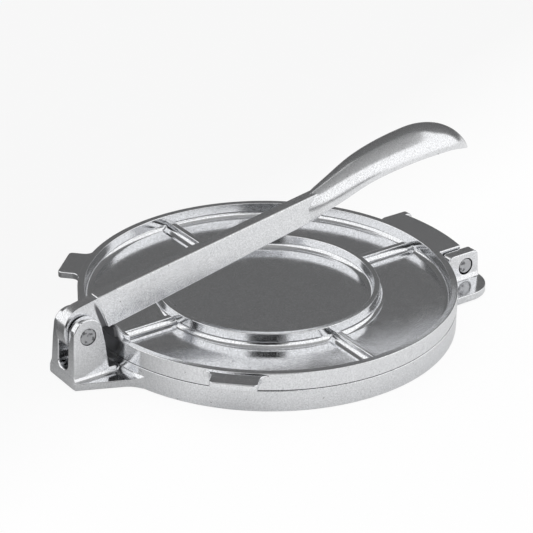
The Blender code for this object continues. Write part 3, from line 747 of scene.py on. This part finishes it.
def make_lower_casting():
    """Lower plate with the clevis and its foot, and the hinge foot with its lugs."""
    plate = shape_plate("lower_casting", BASE_TOP, 0.0, BASE_WEB)
    add_spokes(plate, BASE_TOP - BASE_WEB, -1.0, LOWER_SPOKE_HEIGHT, LOWER_SPOKE_HALF_WIDTH)
    combine(plate, make_clevis(), "UNION")
    combine(plate, make_hinge_foot(), "UNION")
    return plate


# Lever

def bar_bottom(x):
    return PIN_Z + BAR_BOTTOM_AT_PIN + BAR_BOTTOM_SLOPE * (x - PIN_X)


def bar_top(x):
    return PIN_Z + BAR_TOP_AT_PIN + BAR_TOP_SLOPE * (x - PIN_X)


def make_bar(name, foot, head, low_drop):
    """Leaning bar between two slanted ends, each given at its bottom and its top."""
    bar = new_block(name, (BAR_STOCK_START, -BAR_HALF_WIDTH, 0.0), (0.0, BAR_HALF_WIDTH, BAR_STOCK_HEIGHT))
    for end, (bottom_x, top_x) in ((BAR_STOCK_START, foot), (0.0, head)):
        pick_corners(bar, lambda place: abs(place.x - end) < NEAR and abs(place.z) < NEAR)
        shift(bottom_x - end, 0.0, bar_bottom(bottom_x) - low_drop)
        pick_corners(bar, lambda place: abs(place.x - end) < NEAR and abs(place.z - BAR_STOCK_HEIGHT) < NEAR)
        shift(top_x - end, 0.0, bar_top(top_x) - BAR_STOCK_HEIGHT)
        widen(1.0, BAR_TOP_HALF_WIDTH / BAR_HALF_WIDTH, 1.0, ORIGIN)
    clear_selection()
    return bar


def make_hub():
    """Hub with the crown that rises from it into the bar, its cheeks leaning as the bar's sides do."""
    crown = new_rod(
        "lever_crown", CROWN_RADIUS, PIN_X + CROWN_SHIFT_X, PIN_Z + CROWN_SHIFT_Z,
        -HUB_HALF_WIDTH, HUB_HALF_WIDTH, HUB_STEPS)
    cut_off(crown, (CROWN_BACK, 0.0, 0.0), (1.0, 0.0, 0.0))
    cut_off(crown, (0.0, 0.0, CROWN_BOTTOM), (0.0, 0.0, -1.0))
    pick_faces(crown, lambda middle, normal: normal.x > SQUARE_ON)
    push(CROWN_END - CROWN_BACK, 0.0, 0.0)
    pick_corners(crown, lambda place: place.x > CROWN_MIDDLE_X and place.z > CROWN_MIDDLE_Z)
    shift(0.0, 0.0, bar_top(CROWN_END) - CROWN_TOP)
    hub = new_rod("lever_hub", HUB_RADIUS, PIN_X, PIN_Z, -HUB_HALF_WIDTH, HUB_HALF_WIDTH, HUB_STEPS)
    combine(hub, crown, "UNION")
    start, end = CHEEK_ENDS
    combine(hub, make_bar("cheek_lean", (start, start), (end, end), CHEEK_DROP), "INTERSECT")
    round_piece(hub, HUB_EDGE)
    return hub


def station_at(position):
    """Grip station at a position from 0 to 1 along the table, smoothly between rows."""
    rows = GRIP_STATIONS
    place = min(position * (len(rows) - 1), len(rows) - 1.00001)
    index = int(place)
    part = place - index
    near = [rows[max(0, min(len(rows) - 1, index + step))] for step in (-1, 0, 1, 2)]
    values = []
    for before, start, end, after in zip(*near):
        leave = (end - before) / 2.0
        arrive = (after - start) / 2.0
        bend = 3.0 * (end - start) - 2.0 * leave - arrive
        swing = 2.0 * (start - end) + leave + arrive
        values.append(start + part * (leave + part * (bend + part * swing)))
    return values


def draw_arch(name, stations, drop):
    """Arched bar, flat below, drawn out station by station as (x, rim height, half width, arch height)."""
    x, rim, half, arch = stations[0]
    clear_selection()
    bpy.ops.mesh.primitive_circle_add(
        vertices=GRIP_SIDES, radius=half * MM, fill_type="NGON", location=spot(x, 0.0, rim),
        rotation=(math.radians(90.0), 0.0, math.radians(90.0)))
    grip = settle(name)
    pick_faces(grip, lambda middle, normal: True)
    widen(1.0, 1.0, arch / half, (x, 0.0, rim))
    cut_off(grip, (0.0, 0.0, rim), (0.0, 0.0, -1.0))
    bpy.ops.mesh.select_all(action="SELECT")
    for after in stations[1:]:
        push(after[0] - x, 0.0, after[1] - rim)
        widen(1.0, after[2] / half, after[3] / arch, (after[0], 0.0, after[1]))
        x, rim, half, arch = after
    bpy.ops.mesh.select_all(action="SELECT")
    bpy.ops.mesh.normals_make_consistent(inside=False)
    if drop > 0:
        pick_faces(grip, lambda middle, normal: normal.z < -DOWNWARD)
        push(0.0, 0.0, -drop)
    clear_selection()
    return grip


def make_grip():
    """Spoon grip: an arched shell, open below."""
    outside = []
    for step in range(GRIP_STEPS + 1):
        along, half, rise, arch = station_at(step / GRIP_STEPS)
        outside.append((BAR_END + along * GRIP_LENGTH, BAR_END_BOTTOM + rise, half, arch))
    grip = draw_arch("grip", outside, 0.0)
    inside = []
    for step in range(1, HOLLOW_STEPS):
        part = step / HOLLOW_STEPS
        swell = math.sin(math.pi * part) ** HOLLOW_SWELL
        along, half, rise, arch = station_at(HOLLOW_START + HOLLOW_SPAN * part)
        x, rim = BAR_END + along * GRIP_LENGTH, BAR_END_BOTTOM + rise
        inside.append((x, rim, (half - SHELL) * swell, (arch - SHELL) * swell))
    combine(grip, draw_arch("grip_hollow", inside, HOLLOW_DROP), "DIFFERENCE")
    round_piece(grip, GRIP_EDGE, 2, GRIP_EDGE_ANGLE_DEG)
    return grip


def make_lever_casting():
    """Lever: hub with its crown, leaning bar, hollow grip."""
    hub = make_hub()
    bar = make_bar("lever_casting", BAR_FOOT, (BAR_END, BAR_END + BAR_END_LEAN), 0.0)
    round_piece(bar, BAR_EDGE)
    combine(bar, hub, "UNION")
    combine(bar, make_grip(), "UNION")
    bore = new_rod("hub_bore", PIN_BORE, PIN_X, PIN_Z, -PIN_BORE_REACH, PIN_BORE_REACH)
    combine(bar, bore, "DIFFERENCE")
    return bar


def make_pin(name, x, z, radius, low, high):
    """Sawn rod with broken edges."""
    pin = new_rod(name, radius, x, z, low, high)
    round_piece(pin, ROD_EDGE)
    return pin


# Materials

def linear(hex_color):
    """sRGB hex value as linear colour."""
    channels = [int(hex_color[i:i + 2], 16) / 255.0 for i in (0, 2, 4)]
    return tuple(c / 12.92 if c <= 0.04045 else ((c + 0.055) / 1.055) ** 2.4 for c in channels) + (1.0,)


def add_node(material, kind, settings, links):
    """Node with its settings, and links into its inputs, each by the socket's name or number."""
    node = material.node_tree.nodes.new(kind)
    for name, value in settings.items():
        if isinstance(name, int) or name in node.inputs:
            node.inputs[name].default_value = value
        else:
            setattr(node, name, value)
    for name, source in links.items():
        material.node_tree.links.new(source, node.inputs[name])
    return node


def new_material(name):
    material = bpy.data.materials.new(name)
    material.use_nodes = True
    return material, material.node_tree.nodes["Principled BSDF"]


def per_mm(size):
    """Noise scale that gives features of a size in millimetres."""
    return 1.0 / (size * MM)


def share_of(material, source, start, end, low=0.0, high=1.0):
    """Value that runs from low to high while the source runs from start to end, and holds outside."""
    return add_node(
        material, "ShaderNodeMapRange", {"From Min": start, "From Max": end, "To Min": low, "To Max": high},
        {"Value": source}).outputs["Result"]


def painted_shade_patch(material, place, center, lean_deg, radii):
    """Share of painted shade around a corner, where nearby parts shade the metal and are mirrored dark in it.
    """
    local = add_node(
        material, "ShaderNodeMapping",
        {"vector_type": "TEXTURE", "Location": spot(*center), "Rotation": (0.0, math.radians(lean_deg), 0.0),
         "Scale": [radius * MM for radius in radii]},
        {"Vector": place})
    reach = add_node(
        material, "ShaderNodeVectorMath", {"operation": "LENGTH"}, {"Vector": local.outputs["Vector"]})
    return share_of(material, reach.outputs["Value"], 1.0, PAINTED_SHADE_FULL)


def polished_casting(name, shade_corner, roughness, bite):
    """Sand-cast aluminium, ground and polished: bright, a little wavy, with fine grain, a few pits and
    painted shade in one corner.
    """
    material, shader = new_material(name)
    links = material.node_tree.links
    shader.inputs["Metallic"].default_value = 1.0
    place = add_node(material, "ShaderNodeTexCoord", {}, {}).outputs["Object"]
    wave = add_node(material, "ShaderNodeTexNoise", {"Scale": per_mm(WAVE), "Detail": 1.0}, {"Vector": place})
    grain = add_node(
        material, "ShaderNodeTexNoise", {"Scale": per_mm(GRAIN), "Detail": 4.0, "Roughness": 0.65},
        {"Vector": place})
    cloud = add_node(
        material, "ShaderNodeTexNoise", {"Scale": per_mm(CLOUD), "Detail": 3.0}, {"Vector": place})
    pit = add_node(material, "ShaderNodeTexNoise", {"Scale": per_mm(PIT), "Detail": 2.0}, {"Vector": place})
    pit_mask = share_of(material, pit.outputs["Fac"], *PIT_PEAKS)
    tone = share_of(material, grain.outputs["Fac"], *NOISE_SPAN)
    bright = add_node(
        material, "ShaderNodeMix", {"data_type": "RGBA", 6: linear(GRAIN_COLOR), 7: linear(METAL_COLOR)},
        {"Factor": tone})
    pitted = add_node(
        material, "ShaderNodeMix", {"data_type": "RGBA", 7: linear(PIT_COLOR)},
        {"Factor": pit_mask, 6: bright.outputs[2]})
    # Painted shade: a darker, rougher patch in one corner, where nearby parts shade the metal
    painted_shade = painted_shade_patch(material, place, *shade_corner)
    color = add_node(
        material, "ShaderNodeMix", {"data_type": "RGBA", 7: linear(PAINTED_SHADE_COLOR)},
        {"Factor": painted_shade, 6: pitted.outputs[2]})
    links.new(color.outputs[2], shader.inputs["Base Color"])
    smooth, dull = roughness
    polish = share_of(material, cloud.outputs["Fac"], *NOISE_SPAN, smooth, dull)
    rough = add_node(
        material, "ShaderNodeMix", {"data_type": "FLOAT", 3: PAINTED_SHADE_ROUGHNESS},
        {"Factor": painted_shade, 2: polish})
    links.new(rough.outputs[0], shader.inputs["Roughness"])
    swell = add_node(
        material, "ShaderNodeBump", {"Strength": 1.0, "Distance": WAVE_HEIGHT * MM},
        {"Height": wave.outputs["Fac"]})
    skin = add_node(
        material, "ShaderNodeBump", {"Strength": 1.0, "Distance": bite * MM},
        {"Height": grain.outputs["Fac"], "Normal": swell.outputs["Normal"]})
    sunk = add_node(
        material, "ShaderNodeBump", {"Strength": 1.0, "Distance": PIT_DEPTH * MM, "invert": True},
        {"Height": pit_mask, "Normal": skin.outputs["Normal"]})
    links.new(sunk.outputs["Normal"], shader.inputs["Normal"])
    return material


def sawn_rod():
    """Steel rod, sawn off and left rough: greyer than the castings, with dark nicks on its ends."""
    material, shader = new_material("sawn_steel_rod")
    links = material.node_tree.links
    shader.inputs["Metallic"].default_value = 1.0
    shader.inputs["Roughness"].default_value = ROD_ROUGHNESS
    place = add_node(material, "ShaderNodeTexCoord", {}, {}).outputs["Object"]
    gouge = add_node(
        material, "ShaderNodeTexNoise", {"Scale": per_mm(GOUGE), "Detail": 4.0}, {"Vector": place})
    bump = add_node(
        material, "ShaderNodeBump", {"Strength": 1.0, "Distance": GOUGE_DEPTH * MM},
        {"Height": gouge.outputs["Fac"]})
    links.new(bump.outputs["Normal"], shader.inputs["Normal"])
    nick = share_of(material, gouge.outputs["Fac"], *NICK_PEAKS)
    color = add_node(
        material, "ShaderNodeMix", {"data_type": "RGBA", 6: linear(ROD_COLOR), 7: linear(NICK_COLOR)},
        {"Factor": nick})
    links.new(color.outputs[2], shader.inputs["Base Color"])
    return material


def finish_piece(piece, material, body, node):
    """Smooth faces with true flats, finish, and the CAD body that the piece rides on."""
    select_only(piece)
    bpy.ops.object.shade_smooth_by_angle(angle=math.radians(SMOOTH_ANGLE_DEG))
    modifier = piece.modifiers.new("flat_normals", "WEIGHTED_NORMAL")
    modifier.keep_sharp = True
    apply_modifier(piece, modifier)
    piece.data.materials.clear()
    piece.data.materials.append(material)
    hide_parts(node)
    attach(piece, body)


# Studio

def dress_card(card, name, color):
    """Matt card that the metal reflects; the camera, shadows and soft light pass it."""
    card.name = name
    material, shader = new_material(name)
    shader.inputs["Base Color"].default_value = linear(color)
    shader.inputs["Roughness"].default_value = 1.0
    shader.inputs["Specular IOR Level"].default_value = 0.0
    card.data.materials.append(material)
    card.visible_camera = False
    card.visible_shadow = False
    card.visible_diffuse = False


def add_card(name, center, width, height, color):
    """Upright card facing the press."""
    clear_selection()
    bpy.ops.mesh.primitive_plane_add(size=1.0, location=ORIGIN)
    card = bpy.context.object
    away = Vector((center.x, center.y, 0.0)).normalized()
    across = Vector((-away.y, away.x, 0.0))
    turn = Matrix((across * width, Vector((0.0, 0.0, height)), away)).transposed().to_4x4()
    card.matrix_world = Matrix.Translation(center) @ turn
    dress_card(card, name, color)


def add_ceiling():
    """Level card overhead."""
    clear_selection()
    bpy.ops.mesh.primitive_plane_add(size=CEILING_WIDTH, location=(0.0, 0.0, CEILING_HEIGHT))
    dress_card(bpy.context.object, "ceiling", CEILING_COLOR)


def table_material():
    """White table with painted shade, darker towards its far left; the camera sees it close to white, with
    its shadow.
    """
    material, shader = new_material("white_table")
    links = material.node_tree.links
    shader.inputs["Roughness"].default_value = TABLE_ROUGHNESS
    place = add_node(material, "ShaderNodeTexCoord", {}, {}).outputs["Object"]
    # Painted shade: the colour darkens towards the table's far left
    depth = add_node(
        material, "ShaderNodeVectorMath", {"operation": "DOT_PRODUCT", 1: TABLE_FADE}, {0: place})
    fade = share_of(material, depth.outputs["Value"], TABLE_FADE_FROM, TABLE_FADE_TO)
    color = add_node(
        material, "ShaderNodeMix", {"data_type": "RGBA", 6: linear(TABLE_COLOR), 7: linear(TABLE_SHADE_COLOR)},
        {"Factor": fade})
    links.new(color.outputs[2], shader.inputs["Base Color"])
    seen = add_node(material, "ShaderNodeLightPath", {}, {}).outputs["Is Camera Ray"]
    glow = add_node(material, "ShaderNodeEmission", {"Color": WHITE, "Strength": 1.0}, {})
    part = add_node(material, "ShaderNodeMath", {"operation": "MULTIPLY", 1: TABLE_LIFT}, {0: seen})
    mix = add_node(
        material, "ShaderNodeMixShader", {},
        {"Fac": part.outputs[0], 1: shader.outputs[0], 2: glow.outputs[0]})
    links.new(mix.outputs[0], material.node_tree.nodes["Material Output"].inputs["Surface"])
    return material


def add_studio():
    """White table and surround, with grey walls and the dark camera, all seen in the metal."""
    clear_selection()
    bpy.ops.mesh.primitive_plane_add(size=TABLE_SIZE, location=ORIGIN)
    table = bpy.context.object
    table.name = "table"
    table.data.materials.append(table_material())
    yaw = math.radians(CAMERA_YAW_DEG)
    ahead = Vector((math.sin(yaw), math.cos(yaw), 0.0))
    for name, distance, middle, width, height, color in CARDS:
        add_card(name, ahead * distance + Vector((0.0, 0.0, middle)), width, height, color)
    add_ceiling()
    world = bpy.data.worlds.new("studio")
    bpy.context.scene.world = world
    world.use_nodes = True
    background = world.node_tree.nodes["Background"]
    background.inputs["Strength"].default_value = WORLD_STRENGTH
    background.inputs["Color"].default_value = WHITE


add_camera()
# Each casting's finish carries painted shade in one corner: behind the ears on the plates, at the shoulder on
# the lever
plate_metal = polished_casting(
    "polished_sand_cast_aluminium", SHADE_BEHIND_EARS, PLATE_ROUGHNESS, PLATE_BITE)
lever_metal = polished_casting(
    "polished_sand_cast_lever", SHADE_AT_SHOULDER, LEVER_ROUGHNESS, LEVER_BITE)
rod = sawn_rod()
finish_piece(make_lower_casting(), plate_metal, "base", "base_casting")
finish_piece(make_upper_casting(), plate_metal, "top_plate", "top_plate_casting")
finish_piece(make_lever_casting(), lever_metal, "lever", "lever_casting")
finish_piece(make_pin("lever_pin_rod", PIN_X, PIN_Z, *LEVER_PIN), rod, "base", "lever_pin")
finish_piece(make_pin("hinge_pin_rod", HINGE_X, BASE_TOP, *HINGE_PIN), rod, "base", "hinge_pin")
add_studio()
bpy.context.scene.view_settings.view_transform = "Standard"
